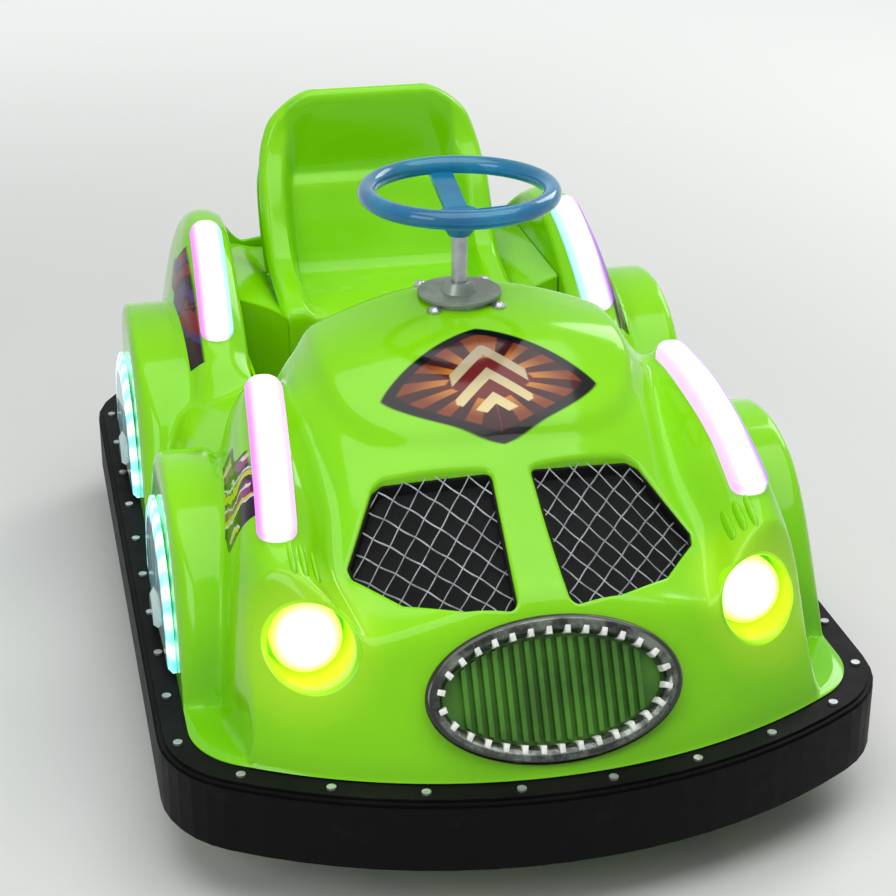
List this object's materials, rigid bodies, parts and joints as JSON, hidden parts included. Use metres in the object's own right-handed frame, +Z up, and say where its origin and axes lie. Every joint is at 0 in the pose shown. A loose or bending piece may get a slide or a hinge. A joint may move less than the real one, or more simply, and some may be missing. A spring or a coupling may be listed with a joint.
{
  "type": "bumper car",
  "caption": "Small battery bumper car with moulded roadster body, oval grille, light bars, bucket seat and a rubber ring, steered by one drive wheel under the column.",
  "frame": {"origin": "on the floor under the middle of the rubber ring", "axes": "+Z up, the nose and the driver's view towards -Y, the driver's left towards +X"},
  "size_m": [0.97, 1.5, 0.773],
  "materials": {
    "body_paint": "glossy",
    "slat_paint": "glossy",
    "ring_rubber": "matte",
    "wheel_tyre": "matte",
    "frame_steel": "satin",
    "bare_steel": "brushed",
    "bright_trim": "polished",
    "wheel_blue": "glossy",
    "lamp_white": "lit",
    "tub_black": "matte",
    "mesh_wire": "satin",
    "battery_case": "matte",
    "motor_case": "cast"
  },
  "bodies": {
    "car": {"bumper_ring": "ring_rubber", "bumper_bolts": "bare_steel", "chassis_frame": "frame_steel", "front_body": "body_paint", "rear_body": "body_paint", "cockpit_liner": "body_paint", "floor_pan": "tub_black", "drive_cover": "tub_black", "seat_shell": "body_paint", "seat_box": "tub_black", "vent_trays": "tub_black", "vent_mesh_left": "mesh_wire", "vent_mesh_right": "mesh_wire", "grille_ring": "bright_trim", "grille_slats": "slat_paint", "headlamp_cups": "body_paint", "headlamp_lenses": "lamp_white", "front_light_bars": "lamp_white", "rear_light_bars": "lamp_white", "front_wheel_discs": "lamp_white", "rear_wheel_discs": "lamp_white", "column_flange": "bright_trim", "rear_axle": "bare_steel", "batteries": "battery_case", "control_box": "frame_steel", "foot_pedal": "frame_steel", "floor_lamp": "tub_black"},
    "steering": {"steering_wheel": "wheel_blue", "steering_column": "bare_steel", "drive_fork": "frame_steel", "drive_axle": "bare_steel", "drive_motor": "motor_case"},
    "drive_wheel": {"drive_tyre": "wheel_tyre", "drive_hub": "motor_case"},
    "rear_wheel_left": {"rear_tyre_left": "wheel_tyre", "rear_hub_left": "motor_case"},
    "rear_wheel_right": {"rear_tyre_right": "wheel_tyre", "rear_hub_right": "motor_case"}
  },
  "joints": [
    {"name": "steering_turn", "type": "hinge", "parent": "car", "child": "steering", "pos_m": [0, -0.12, 0.2], "axis": [0, 0, 1], "range_deg": [-170, 170]},
    {"name": "drive_wheel_spin", "type": "hinge", "parent": "steering", "child": "drive_wheel", "pos_m": [0, -0.12, 0.08], "axis": [1, 0, 0], "continuous": true},
    {"name": "rear_left_spin", "type": "hinge", "parent": "car", "child": "rear_wheel_left", "pos_m": [0.3, 0.47, 0.08], "axis": [1, 0, 0], "continuous": true},
    {"name": "rear_right_spin", "type": "hinge", "parent": "car", "child": "rear_wheel_right", "pos_m": [-0.3, 0.47, 0.08], "axis": [1, 0, 0], "continuous": true}
  ]
}
